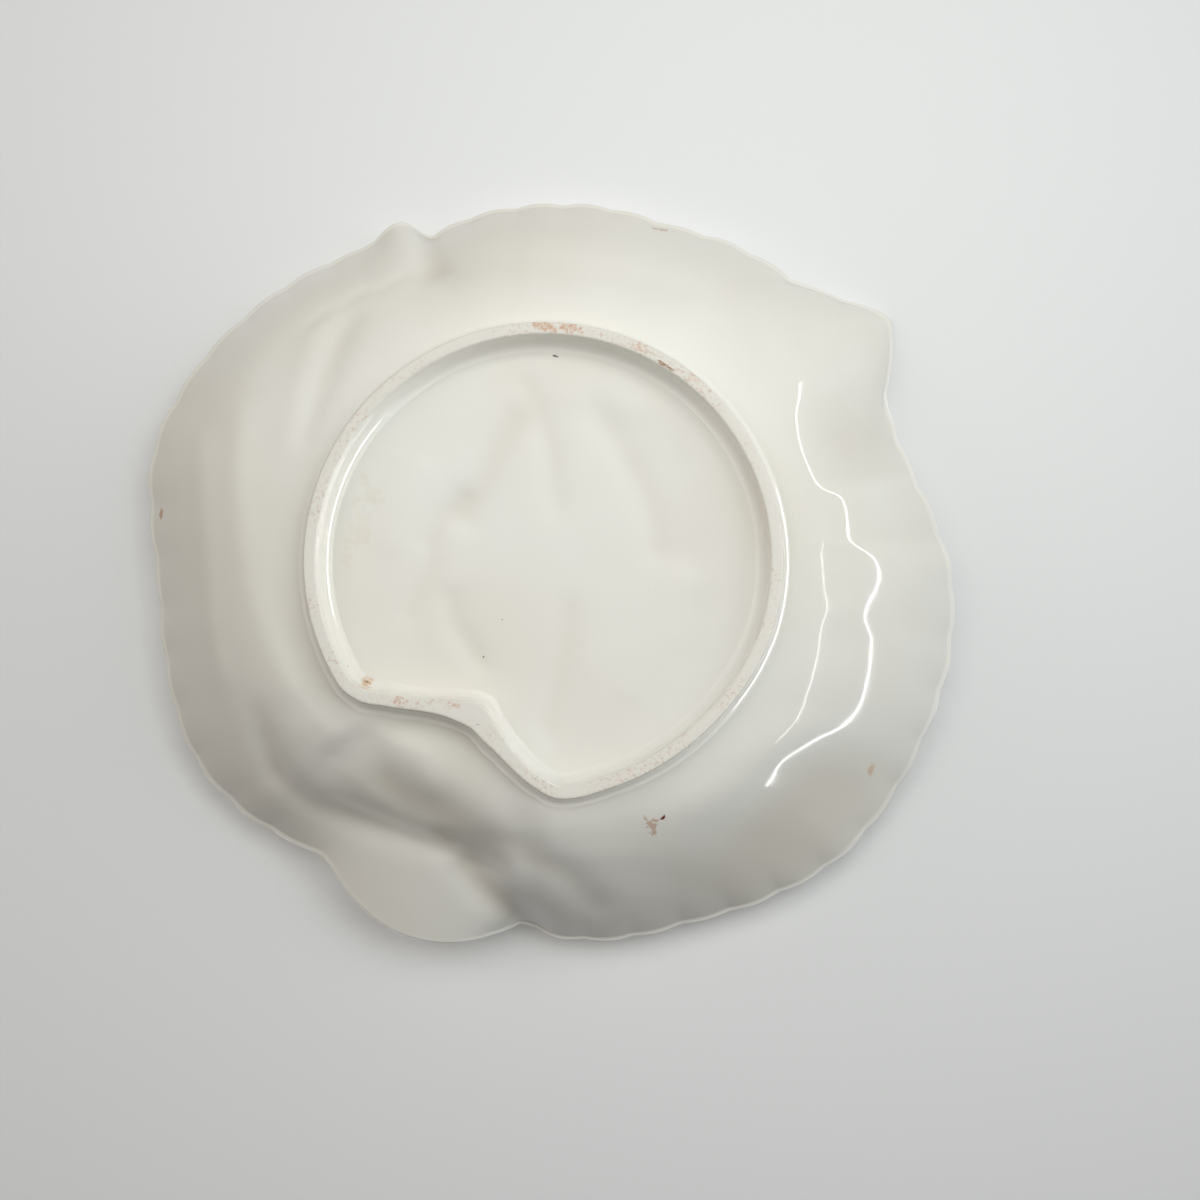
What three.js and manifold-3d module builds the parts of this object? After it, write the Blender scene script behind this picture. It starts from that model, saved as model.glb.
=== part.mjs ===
// Leaf dish in glazed earthenware: a shallow shell in the shape of a broad leaf, standing on a notched foot
// ring, with a flat stalk lobe to hold it by. Millimetres, +Z up. It rests on z = 0, its lobe towards -Y.
// Bearings are degrees from +X, counter-clockwise as seen from above, about the middle of the foot ring.
import * as THREE from 'three';
import { mergeVertices } from 'three/addons/utils/BufferGeometryUtils.js';
import loadManifold from 'manifold-3d';

// Leaf shell
const RIM_RADIUS = 118; // mean reach of the rim
const RIM_HEIGHT = 36; // underside of the rim above the table
const WALL = 4.6; // thickness of the floor and the wall
const LIP = 3.2; // thickness of the rim
const LIP_ROUND = 1.3; // how far the rim's rounded edge stands out
const WALL_CURVE = 1.45; // how late the wall turns up, where 1 is a straight cone
const SCALLOPS = 48; // round the whole rim
const SCALLOP_DEPTH = 0.8;

// Leaf outline without its points: bearing, then departures in hundredths of the rim's mean reach and height
const LEAF_OUTLINE = [
  [0, 7.5, 0],
  [12, 6.6, 1.4],
  [24, 3.4, 0],
  [34, 0.2, -1.4],
  [42, -2.2, 0],
  [47, -3.9, 0],
  [53, -6.1, 0.7],
  [60, -4.3, 1.4],
  [68, -3.6, 0],
  [80, -3.2, -1.4],
  [92, -3.6, 0],
  [102, -1.5, 1.4],
  [112, -0.3, 2.8],
  [126, 0.2, 2.8],
  [139, -2.9, 1.4],
  [146, -3.1, 0],
  [154, -0.7, -1.4],
  [163, 3.1, 0],
  [174, 4.9, 1.4],
  [186, 4.6, -1.4],
  [197, 4.8, 1.4],
  [208, 3.9, 0],
  [219, 0.2, -1.4],
  [231, -3.7, 0],
  [243, -5.1, 1.4],
  [252, -7.3, 0],
  [258, -10.7, -2.8],
  [275, -10.8, -5.6],
  [288.5, -10.3, -2.8],
  [293, -7.5, -1.4],
  [299, -3.9, 0],
  [306, -0.4, 1.4],
  [314, 2.2, 2.8],
  [320, 2.2, 1.4],
  [330, 1, 0],
  [341, 0.5, -1.4],
  [351, 4.1, 0],
];

// Leaf points at the rim: how far each stands out and rises, the angles over which its two sides run out,
// and the share of those angles that rounds its end
const LEAF_TIP = { bearing: 126.3, length: 15, rise: 6, before: 13, after: 10.6, round: 0.08 };
const LEAF_NUB = { bearing: 49.9, length: 5, rise: -2.4, before: 6, after: 3, round: 0.4 };
const POINT_CURVE = 1.55; // how hollow a point's sides are, where 1 is straight
const POINT_SOFT = 1.2; // the rounding share far in from the rim

// How soon the points and the scallops fade out from the rim inwards: higher is sooner
const POINT_FADE = 3;
const SCALLOP_FADE = 10;

// Stalk lobe
const LOBE_BEARING = 274.5;
const LOBE_HALF_ANGLE = 16.9;
const LOBE_LENGTH = 10.6; // how far it stands out past the leaf's edge
const LOBE_DROP = 2; // how far its edge lies below the rim
const LOBE_LEVEL = 0.58; // share of the wall's rise that is reached at the crease
const LOBE_FADE = 1.5; // how much further its flat form fades out on the +X side
const LOBE_EDGE = 0.8; // share of its form over which it fades out
const LOBE_CURVE = 1.8; // how late the wall behind it turns up
const CREASE_DISTANCE = 85; // straight crease where the steep wall ends and the flat lobe begins
const CREASE_ROUND = 0.12; // share of the wall's rise that rounds the crease
const ROOT_SETBACK = 2; // from the crease out to the joint of lobe and body
const JOINT_GAP = 0.3; // joint between lobe and body

// Foot ring
const FOOT_RADIUS = 64; // middle of the resting face
const FOOT_HEIGHT = 7;
const FOOT_FACE = 3.4; // width of the resting face
const FOOT_EDGE = 0.5; // worn bevel on both edges of the resting face
const FLARE_INSIDE = 3.6; // how far the inner side slopes in towards the floor
const FLARE_OUTSIDE = 3.2; // how far the outer side slopes out towards the wall
const FLARE_HOLLOW = 0.35; // share of the flare left at the waist, so the sides curve in
const FOOT_WAIST = 0.55; // height of the waist, as a share of the foot's height
const SEAT_MARGIN = 0.8; // flat floor beyond the ring's seat on both sides
const NOTCH_DEPTH = 17;
const CUSP_WIDTH = 3.4; // how much wider the resting face is at the notch's inner end
const CUSP_BEARING = 277;
const CUSP_HALF_ANGLE = 9;

// Foot notch: bearing, share of the notch's depth
const FOOT_NOTCH = [
  [175, 0.02],
  [208, 0.08],
  [236, 0.05],
  [249, 0.02],
  [255.5, 0.23],
  [260.7, 0.46],
  [268.3, 0.78],
  [275.6, 1],
  [283.6, 0.96],
  [292, 0.74],
  [300.6, 0.39],
  [305.8, 0.13],
  [312, 0],
];

// Folds in the wall beside the lobe: plan points of each valley as shares of the rim's mean reach
const FOLD_BESIDE_LOBE = [[-0.05, -0.77], [-0.11, -0.81], [-0.19, -0.84], [-0.29, -0.855]];
const FOLD_BY_NOTCH = [[0.25, -0.55], [0.21, -0.6], [0.15, -0.625], [0.06, -0.635]];
const FOLD_DEPTH = 2;
const FOLD_HALF_WIDTH = 5.5;
const FOOT_CLEARANCE = 0.2; // share of the wall above the foot over which the folds fade in

// Fineness of the surface
const STEPS_PER_SCALLOP = 3;
const FLOOR_STEPS = [0.45, 0.8, 1]; // shares of the way from the middle to the foot ring's seat
const WALL_STEPS = [0, 0.13, 0.28, 0.44, 0.6, 0.76, 0.9, 1]; // shares of the way from the seat to the rim
const LOBE_JOINT_STEPS = 24;
const COLUMNS = SCALLOPS * STEPS_PER_SCALLOP;

const GLAZE_COLOUR = 0xe6e3d8;
const CLAY_COLOUR = 0xe2d5c8;

const radians = THREE.MathUtils.degToRad;
const { clamp, euclideanModulo, lerp, smoothstep } = THREE.MathUtils;

// Smooth value of a table's column at a bearing, round the full circle
function around(table, bearing, column) {
  const count = table.length;
  const at = (index) => table[euclideanModulo(index, count)][0] + Math.floor(index / count) * 360;
  const value = (index) => table[euclideanModulo(index, count)][column];
  const slope = (index) => (value(index + 1) - value(index - 1)) / (at(index + 1) - at(index - 1));
  const wanted = table[0][0] + euclideanModulo(bearing - table[0][0], 360);
  const next = table.findIndex((row) => row[0] > wanted);
  const low = next < 0 ? count - 1 : next - 1;
  const span = at(low + 1) - at(low);
  const u = (wanted - at(low)) / span;
  const rise = u * u * (3 - 2 * u);
  const bend = slope(low) * u * (1 - u) ** 2 - slope(low + 1) * u * u * (1 - u);
  return lerp(value(low), value(low + 1), rise) + span * bend;
}

// Place across the lobe: 0 on its axis, -1 and 1 at its two ends
function acrossLobe(bearing) {
  return (bearing - LOBE_BEARING) / LOBE_HALF_ANGLE;
}

// Share of the lobe's flat form at a bearing: 1 over its middle, 0 away from it
function lobeShare(bearing) {
  const across = acrossLobe(bearing);
  const faded = across > 0 ? across / LOBE_FADE : across;
  return smoothstep(1 - faded ** 2, 0, LOBE_EDGE);
}

function creaseReach(bearing) {
  return CREASE_DISTANCE / Math.cos(radians(bearing - LOBE_BEARING));
}

// Share of a leaf point's form at a bearing: 1 at its end, 0 away from it, and softer in from the rim
function pointShare(point, bearing, share) {
  const away = bearing - point.bearing;
  const side = away < 0 ? point.before : point.after;
  const round = lerp(POINT_SOFT, point.round, share ** POINT_FADE);
  return Math.max(0, 1 + round - Math.hypot(away / side, round)) ** POINT_CURVE;
}

// Sum over the leaf's points of how far they stand out or rise
function pointSum(quality, bearing, share) {
  const tip = LEAF_TIP[quality] * pointShare(LEAF_TIP, bearing, share);
  const nub = LEAF_NUB[quality] * pointShare(LEAF_NUB, bearing, share);
  return (tip + nub) * share ** POINT_FADE;
}

function scallop(bearing) {
  const cusp = 1 - Math.abs(Math.sin(radians(bearing * SCALLOPS) / 2));
  return SCALLOP_DEPTH * cusp * (1 - lobeShare(bearing));
}

// Reach of the leaf's edge without its lobe, points and scallops
function plainReach(bearing) {
  return RIM_RADIUS * (1 + around(LEAF_OUTLINE, bearing, 1) / 100);
}

function outlineReach(bearing) {
  const lobe = LOBE_LENGTH * Math.max(0, 1 - acrossLobe(bearing) ** 2);
  return plainReach(bearing) + lobe;
}

// What the points and scallops add to the reach, a share of the way from the foot's seat to the rim
function edgeReach(bearing, share) {
  return pointSum('length', bearing, share) - scallop(bearing) * share ** SCALLOP_FADE;
}

function rimHeight(bearing) {
  const plain = RIM_HEIGHT * (1 + around(LEAF_OUTLINE, bearing, 2) / 100);
  return plain - LOBE_DROP * lobeShare(bearing);
}

function planPoint(bearing, reach) {
  const direction = new THREE.Vector2(Math.cos(radians(bearing)), Math.sin(radians(bearing)));
  return direction.multiplyScalar(reach);
}

function footReach(bearing) {
  return FOOT_RADIUS - NOTCH_DEPTH * around(FOOT_NOTCH, bearing, 1);
}

// Reach of a line that runs beside the foot ring at a distance, outwards or inwards
function besideFoot(bearing, distance) {
  const step = 0.5;
  const before = planPoint(bearing - step, footReach(bearing - step));
  const after = planPoint(bearing + step, footReach(bearing + step));
  const along = after.sub(before).normalize();
  const slant = new THREE.Vector2(along.y, -along.x).dot(planPoint(bearing, 1));
  return footReach(bearing) + distance / slant;
}

// Half the width of the resting face
function footHalf(bearing) {
  const away = (bearing - CUSP_BEARING) / CUSP_HALF_ANGLE;
  return (FOOT_FACE + CUSP_WIDTH * Math.exp(-(away ** 2))) / 2;
}

function seatInside(bearing) {
  return besideFoot(bearing, -(footHalf(bearing) + FLARE_INSIDE + SEAT_MARGIN));
}

function seatOutside(bearing) {
  return besideFoot(bearing, footHalf(bearing) + FLARE_OUTSIDE + SEAT_MARGIN);
}

// Share of the wall's rise at the lobe: ever steeper as far as the crease, then a flat slope out to the rim
function lobeRise(bearing, reach, end) {
  const start = seatOutside(bearing);
  const crease = creaseReach(bearing);
  const wall = LOBE_LEVEL * Math.max(0, (reach - start) / (crease - start)) ** LOBE_CURVE;
  const slope = lerp(LOBE_LEVEL, 1, Math.max(0, (reach - crease) / (end - crease)));
  const blend = clamp(0.5 + (slope - wall) / (2 * CREASE_ROUND), 0, 1);
  return lerp(slope, wall, blend) - CREASE_ROUND * blend * (1 - blend);
}

// Distance from a plan point to a line of straight stretches, given as shares of the rim's mean reach
function distanceToLine(point, line) {
  const corners = line.map((corner) => new THREE.Vector2(...corner).multiplyScalar(RIM_RADIUS));
  const stretches = corners.slice(1).map((end, index) => {
    const along = end.clone().sub(corners[index]);
    const offset = point.clone().sub(corners[index]);
    const share = clamp(offset.dot(along) / along.lengthSq(), 0, 1);
    return offset.distanceTo(along.multiplyScalar(share));
  });
  return Math.min(...stretches);
}

function foldRise(plan, line) {
  const away = distanceToLine(plan, line) / FOLD_HALF_WIDTH;
  return FOLD_DEPTH * Math.exp(-(away ** 2));
}

// Point of the wall's underside, a share of the way from the foot's seat to the rim
function wallPoint(bearing, share) {
  const end = outlineReach(bearing) - LIP_ROUND;
  const reach = lerp(seatOutside(bearing), end, share) + edgeReach(bearing, share);
  const lobe = lobeShare(bearing);
  const flat = lobe > 0 ? lobeRise(bearing, reach, end) : 0;
  const slope = lerp(share ** WALL_CURVE, flat, lobe);
  const plan = planPoint(bearing, reach);
  const folds = foldRise(plan, FOLD_BESIDE_LOBE) + foldRise(plan, FOLD_BY_NOTCH);
  const relief = folds * smoothstep(share, 0, FOOT_CLEARANCE);
  const height = lerp(FOOT_HEIGHT, rimHeight(bearing), slope) + relief + pointSum('rise', bearing, share);
  return new THREE.Vector3(plan.x, plan.y, height);
}

// Upward direction square to the wall's underside
function wallNormal(bearing, share) {
  const turn = 0.6;
  const step = 0.02;
  const inner = Math.max(0, share - step);
  const outer = Math.min(1, share + step);
  const outwards = wallPoint(bearing, outer).sub(wallPoint(bearing, inner));
  const round = wallPoint(bearing + turn, share).sub(wallPoint(bearing - turn, share));
  return outwards.cross(round).normalize();
}

function floorPoint(bearing, share, height) {
  const plan = planPoint(bearing, seatInside(bearing) * share);
  return new THREE.Vector3(plan.x, plan.y, height);
}

function wallTop(bearing, share) {
  const thickness = lerp(WALL, LIP, share ** 2);
  const normal = share > 0 ? wallNormal(bearing, share) : new THREE.Vector3(0, 0, 1);
  return wallPoint(bearing, share).addScaledVector(normal, thickness);
}

function lipPoint(bearing) {
  const plan = planPoint(bearing, outlineReach(bearing) + edgeReach(bearing, 1));
  const height = (wallPoint(bearing, 1).z + wallTop(bearing, 1).z) / 2;
  return new THREE.Vector3(plan.x, plan.y, height);
}

// Points along one bearing, from the middle of the underside round the rim to the middle of the top
function shellSection(bearing) {
  const under = FLOOR_STEPS.map((share) => floorPoint(bearing, share, FOOT_HEIGHT));
  const outside = WALL_STEPS.map((share) => wallPoint(bearing, share));
  const inside = WALL_STEPS.map((share) => wallTop(bearing, share)).reverse();
  const floor = FLOOR_STEPS.map((share) => floorPoint(bearing, share, FOOT_HEIGHT + WALL)).reverse();
  return [...under, ...outside, lipPoint(bearing), ...inside, ...floor];
}

function toGeometry(points, triangles) {
  const geometry = new THREE.BufferGeometry().setFromPoints(points);
  geometry.setIndex(triangles);
  return geometry;
}

// Triangles between neighbouring columns of points, where each column has the same number of rows
function stripTriangles(rows, closedRows) {
  const triangles = [];
  const lastRow = closedRows ? rows : rows - 1;
  for (let column = 0; column < COLUMNS; column += 1) {
    const nextColumn = (column + 1) % COLUMNS;
    for (let row = 0; row < lastRow; row += 1) {
      const nextRow = (row + 1) % rows;
      const here = column * rows + row;
      const out = column * rows + nextRow;
      const beside = nextColumn * rows + row;
      const across = nextColumn * rows + nextRow;
      triangles.push(here, beside, across, here, across, out);
    }
  }
  return triangles;
}

function bearings() {
  return Array.from({ length: COLUMNS }, (_, column) => (column * 360) / COLUMNS);
}

// The whole leaf, lobe included, as one closed skin
function leafGeometry() {
  const sections = bearings().map(shellSection);
  const rows = sections[0].length;
  const points = sections.flat();
  const triangles = stripTriangles(rows, false);
  const underMiddle = points.push(new THREE.Vector3(0, 0, FOOT_HEIGHT)) - 1;
  const topMiddle = points.push(new THREE.Vector3(0, 0, FOOT_HEIGHT + WALL)) - 1;
  for (let column = 0; column < COLUMNS; column += 1) {
    const first = column * rows;
    const firstBeside = ((column + 1) % COLUMNS) * rows;
    triangles.push(underMiddle, firstBeside, first);
    triangles.push(topMiddle, first + rows - 1, firstBeside + rows - 1);
  }
  return toGeometry(points, triangles);
}

// Section of the foot ring at a bearing: distance out from the middle of its resting face, height
function footSection(bearing) {
  const half = footHalf(bearing);
  const waist = FOOT_HEIGHT * FOOT_WAIST;
  return [
    [-half - FLARE_INSIDE, FOOT_HEIGHT],
    [-half - FLARE_INSIDE * FLARE_HOLLOW, waist],
    [-half, FOOT_EDGE],
    [-half + FOOT_EDGE, 0],
    [half - FOOT_EDGE, 0],
    [half, FOOT_EDGE],
    [half + FLARE_OUTSIDE * FLARE_HOLLOW, waist],
    [half + FLARE_OUTSIDE, FOOT_HEIGHT],
  ];
}

function footGeometry() {
  const sections = bearings().map((bearing) => footSection(bearing).map(([distance, height]) => {
    const plan = planPoint(bearing, besideFoot(bearing, distance));
    return new THREE.Vector3(plan.x, plan.y, height);
  }));
  return toGeometry(sections.flat(), stripTriangles(sections[0].length, true));
}

// Joint of lobe and body in plan: an arc from the rim at one end of the lobe, in and out to its other end
function lobeJoint(setback) {
  const line = [];
  for (let step = 0; step <= LOBE_JOINT_STEPS; step += 1) {
    const turn = (Math.PI * step) / LOBE_JOINT_STEPS;
    const bearing = LOBE_BEARING - Math.cos(turn) * LOBE_HALF_ANGLE;
    const reach = lerp(plainReach(bearing) + LIP, creaseReach(bearing) + ROOT_SETBACK, Math.sin(turn));
    line.push(planPoint(bearing, reach));
  }
  return line.map((point, index) => {
    const before = line[Math.max(index - 1, 0)];
    const after = line[Math.min(index + 1, LOBE_JOINT_STEPS)];
    const along = after.clone().sub(before).normalize();
    return point.clone().add(new THREE.Vector2(-along.y, along.x).multiplyScalar(setback));
  });
}

// Upright block that holds everything on the lobe's side of its joint
function lobeBlock(setback) {
  const joint = lobeJoint(setback);
  const beyond = RIM_RADIUS + LOBE_LENGTH + RIM_HEIGHT;
  const ends = [joint.at(-1), joint[0]];
  const outer = ends.map((end) => end.clone().setLength(beyond));
  const outline = new THREE.Shape([...joint, ...outer]);
  return new THREE.ExtrudeGeometry(outline, { depth: RIM_HEIGHT * 2, bevelEnabled: false });
}

const manifold = await loadManifold();
manifold.setup();

function toSolid(geometry) {
  const bare = new THREE.BufferGeometry();
  bare.setAttribute('position', geometry.getAttribute('position'));
  bare.setIndex(geometry.getIndex());
  const merged = mergeVertices(bare);
  const vertProperties = new Float32Array(merged.getAttribute('position').array);
  const triVerts = new Uint32Array(merged.getIndex().array);
  return new manifold.Manifold(new manifold.Mesh({ numProp: 3, vertProperties, triVerts }));
}

function fromSolid(solid) {
  const { vertProperties, triVerts } = solid.getMesh();
  const geometry = new THREE.BufferGeometry();
  geometry.setAttribute('position', new THREE.BufferAttribute(vertProperties, 3));
  geometry.setIndex(new THREE.BufferAttribute(triVerts, 1));
  return geometry;
}

function ceramic(colour, roughness) {
  return new THREE.MeshStandardMaterial({ color: colour, roughness, metalness: 0 });
}

function piece(name, geometry, material) {
  geometry.computeVertexNormals();
  const mesh = new THREE.Mesh(geometry, material);
  mesh.name = name;
  return mesh;
}

const glaze = ceramic(GLAZE_COLOUR, 0.12);
const leaf = toSolid(leafGeometry());
const leafBody = piece('leaf_body', fromSolid(leaf.subtract(toSolid(lobeBlock(JOINT_GAP)))), glaze);
const stalkLobe = piece('stalk_lobe', fromSolid(leaf.intersect(toSolid(lobeBlock(0)))), glaze);
const footRing = piece('foot_ring', footGeometry(), ceramic(CLAY_COLOUR, 0.6));

// The dish stands with the middle of its outline over the origin
const dish = new THREE.Group();
dish.name = 'leaf_dish';
dish.add(leafBody, stalkLobe, footRing);
const middle = new THREE.Box3().setFromObject(dish).getCenter(new THREE.Vector3());
dish.position.set(-middle.x, -middle.y, 0);

export default dish;
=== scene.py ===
"""Leaf dish in ivory glazed earthenware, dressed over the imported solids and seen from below.

Lengths are millimetres, as on the part's drawing, and turn into metres where an object is made.
Bearings are degrees from +X, counter-clockwise from above, about the middle of the foot ring.
"""

import bpy
import numpy as np
from mathutils import Matrix, Vector


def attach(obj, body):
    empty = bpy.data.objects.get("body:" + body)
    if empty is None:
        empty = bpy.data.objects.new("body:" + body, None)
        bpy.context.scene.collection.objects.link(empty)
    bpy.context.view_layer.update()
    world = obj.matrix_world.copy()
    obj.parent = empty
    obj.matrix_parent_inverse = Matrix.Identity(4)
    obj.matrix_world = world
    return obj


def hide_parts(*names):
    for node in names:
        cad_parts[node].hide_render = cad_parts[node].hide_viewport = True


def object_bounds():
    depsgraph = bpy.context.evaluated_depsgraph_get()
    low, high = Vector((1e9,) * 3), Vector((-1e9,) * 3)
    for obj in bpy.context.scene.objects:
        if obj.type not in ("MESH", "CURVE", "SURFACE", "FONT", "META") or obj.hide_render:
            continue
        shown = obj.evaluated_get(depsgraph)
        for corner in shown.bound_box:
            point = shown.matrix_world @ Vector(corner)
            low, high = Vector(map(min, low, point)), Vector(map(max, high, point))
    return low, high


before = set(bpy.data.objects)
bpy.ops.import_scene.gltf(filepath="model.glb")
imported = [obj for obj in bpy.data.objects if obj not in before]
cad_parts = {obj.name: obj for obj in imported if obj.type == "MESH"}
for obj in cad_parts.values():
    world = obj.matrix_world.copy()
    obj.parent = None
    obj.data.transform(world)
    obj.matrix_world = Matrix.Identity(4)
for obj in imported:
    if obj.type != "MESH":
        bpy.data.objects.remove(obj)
cad_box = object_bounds()

MM = 0.001

# Leaf shell
RIM_RADIUS = 118.0  # mean reach of the rim
RIM_HEIGHT = 36.0  # underside of the rim above the table
WALL = 4.6
LIP = 3.2  # thickness of the rim
LIP_FADE = 2  # how late the wall thins towards the rim
LIP_ROUND = 0.7  # how far the rim's rounded edge stands out
WALL_CURVE = 1.45  # how late the wall turns up, where 1 is a straight cone
SCALLOPS = 48
SCALLOP_DEPTH = 0.8

# Leaf outline without its points: bearing, then departures in hundredths of the rim's mean reach and height
LEAF_OUTLINE = [
    (0, 7.5, 0),
    (12, 6.6, 1.4),
    (24, 3.4, 0),
    (34, 0.2, -1.4),
    (42, -2.2, 0),
    (47, -3.9, 0),
    (53, -6.1, 0.7),
    (60, -4.3, 1.4),
    (68, -3.6, 0),
    (80, -3.2, -1.4),
    (92, -3.6, 0),
    (102, -1.5, 1.4),
    (112, -0.3, 2.8),
    (126, 0.2, 2.8),
    (139, -2.9, 1.4),
    (146, -3.1, 0),
    (154, -0.7, -1.4),
    (163, 3.1, 0),
    (174, 4.9, 1.4),
    (186, 4.6, -1.4),
    (197, 4.8, 1.4),
    (208, 3.9, 0),
    (219, 0.2, -1.4),
    (231, -3.7, 0),
    (243, -5.1, 1.4),
    (252, -7.3, 0),
    (258, -10.7, -2.8),
    (275, -10.8, -5.6),
    (288.5, -10.3, -2.8),
    (293, -7.5, -1.4),
    (299, -3.9, 0),
    (306, -0.4, 1.4),
    (314, 2.2, 2.8),
    (320, 2.2, 1.4),
    (330, 1, 0),
    (341, 0.5, -1.4),
    (351, 4.1, 0),
]
HUNDREDTHS = 100

# Leaf points at the rim: how far each stands out and rises, the angles over which its two sides run out,
# and the share of those angles that rounds its end
LEAF_TIP = {"bearing": 126.3, "length": 15.0, "rise": 6.0, "before": 13.0, "after": 10.6, "round": 0.08}
LEAF_NUB = {"bearing": 49.9, "length": 5.0, "rise": -2.4, "before": 6.0, "after": 3.0, "round": 0.4}
POINT_CURVE = 1.55  # how hollow a point's sides are, where 1 is straight
POINT_SOFT = 1.2  # the rounding share far in from the rim
POINT_FADE = 3
SCALLOP_FADE = 10

# Stalk lobe
LOBE_BEARING = 274.5
LOBE_HALF_ANGLE = 16.9
LOBE_LENGTH = 10.6  # how far it stands out past the leaf's edge
LOBE_DROP = 2.0  # how far its edge lies below the rim
LOBE_SOFT = 0.6  # rounding of its two corners with the leaf, far in from the rim
LOBE_CORNER_FADE = 6  # how near the rim those corners turn sharp
LOBE_LEVEL = 0.58  # share of the wall's rise that is reached at the crease
LOBE_FADE = 1.5  # how much wider its flat form is on the side of higher bearings
LOBE_EDGE = 0.8  # share of the lobe's width, from its ends, over which it turns flat
LOBE_CURVE = 2.3  # how late the wall behind it turns up
CREASE_DISTANCE = 85.0  # straight crease where the steep wall ends and the flat lobe begins
CREASE_ROUND = 0.12  # share of the wall's rise that rounds the crease

# Foot ring
FOOT_RADIUS = 64.0  # middle of the resting face
FOOT_HEIGHT = 7.0
FOOT_FACE = 3.4  # width of the resting face
FOOT_EDGE = 0.7  # round on both edges of the resting face
EDGE_PULL = 0.2  # share of that round by which its curve keeps off the corner
FLARE_INSIDE = 3.6
FLARE_OUTSIDE = 3.2
STEEP_PULL = (0.1, 0.75)  # pull on a side's lower end: shares of its flare and of the ring's height
LEVEL_PULL = 0.3  # pull on its upper end, level with the floor: share of its flare
NOTCH_DEPTH = 17.0
SEAT_MARGIN = 0.8
CUSP_WIDTH = 3.4  # how much wider the resting face is at the notch's inner end
CUSP_BEARING = 277.0
CUSP_HALF_ANGLE = 9.0
FOOT_SINK = 0.08  # how far the ring's fillets run into the floor, so that one glaze seems to cover both
BEARING_STEP = 0.5  # degrees to either side over which the ring's course is taken

# Foot notch: bearing, share of the notch's depth
FOOT_NOTCH = [
    (175, 0.02),
    (208, 0.08),
    (236, 0.05),
    (249, 0.02),
    (255.5, 0.23),
    (260.7, 0.46),
    (268.3, 0.78),
    (275.6, 1),
    (283.6, 0.96),
    (292, 0.74),
    (300.6, 0.39),
    (305.8, 0.13),
    (312, 0),
]

# Folds that both sides of the wall follow: rise above the plain wall, half width, plan points
FOLDS = [
    (0.65, 4.5, [(62, -72), (57, -79), (51, -83), (43, -86), (34, -87), (25, -87), (15, -87), (6, -86)]),
    (1.5, 5.0, [(-4, -90), (-11, -95), (-20, -99), (-28, -102)]),
    (0.8, 5.0, [(4, -84), (-6, -80), (-14, -79), (-22, -80), (-32, -83), (-42, -89)]),
    (0.55, 6.0, [(31, -62), (28, -67), (24, -71.5), (17.5, -74), (11, -75)]),
    (0.7, 5.5, [(24, -71.5), (17.5, -74), (11, -75), (3, -75.5)]),
    (-0.8, 6.5, [(26, -58), (18, -62), (12, -67)]),
    (-0.8, 7.0, [(46, -63), (50, -70), (46, -76)]),
    (0.7, 5.0, [(66, -66), (62, -73), (57, -79)]),
    (
        -1.6,
        15.0,
        [(66, -58), (77, -46), (86, -31), (93, -15), (98, 2), (101, 20), (101, 37), (95, 54), (85, 65)],
    ),
    (-0.4, 4.0, [(80, -57), (88, -43), (94, -27), (101, -11), (108, 6)]),
    (-0.45, 4.5, [(58, -55), (68, -44), (78, -30), (85, -16), (92, 0), (97, 15)]),
    (0.8, 4.5, [(75, 51), (76, 38), (75, 25), (74, 14)]),
    (-0.4, 4.5, [(85, 46), (84, 35), (82, 22), (80, 12)]),
    (0.35, 2.2, [(88, 47), (84, 53)]),
    (0.35, 2.2, [(80, 56), (75, 62)]),
    (0.3, 2.2, [(71, 63), (66, 69)]),
    (1.4, 4.0, [(68, 90), (62, 82), (57, 74)]),
    (0.6, 8.0, [(60, 70), (42, 79), (22, 82), (5, 84), (-14, 86)]),
]

# Dents and swellings under the floor, in the same terms
FLOOR_DENTS = [
    (0.9, 4.5, [(20, 35), (22, 26), (23, 16), (25, 6)]),
    (0.7, 3.5, [(28, 10), (31, 3), (32, -4)]),
    (0.5, 3.5, [(30, -10), (31, -18), (32, -25)]),
    (0.6, 3.5, [(22, -18), (19, -24), (13, -29), (8, -34)]),
    (0.5, 4.0, [(20, 46), (14, 39), (8, 30), (2, 16)]),
    (0.7, 4.5, [(-1, 46), (-11, 37), (-19, 29), (-26, 20), (-29, 13)]),
    (0.5, 4.0, [(-10, -12), (-12, -22), (-13, -35), (-14, -45)]),
    (-0.6, 4.5, [(-39, 5), (-38, -11), (-34, -27)]),
    (-0.4, 5.0, [(5, 47), (-6, 49), (-16, 49)]),
    (-0.4, 4.0, [(41, 14), (42, 5), (42, -7)]),
    (0.4, 5.0, [(54, 10), (53, 0), (50, -11)]),
]

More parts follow.
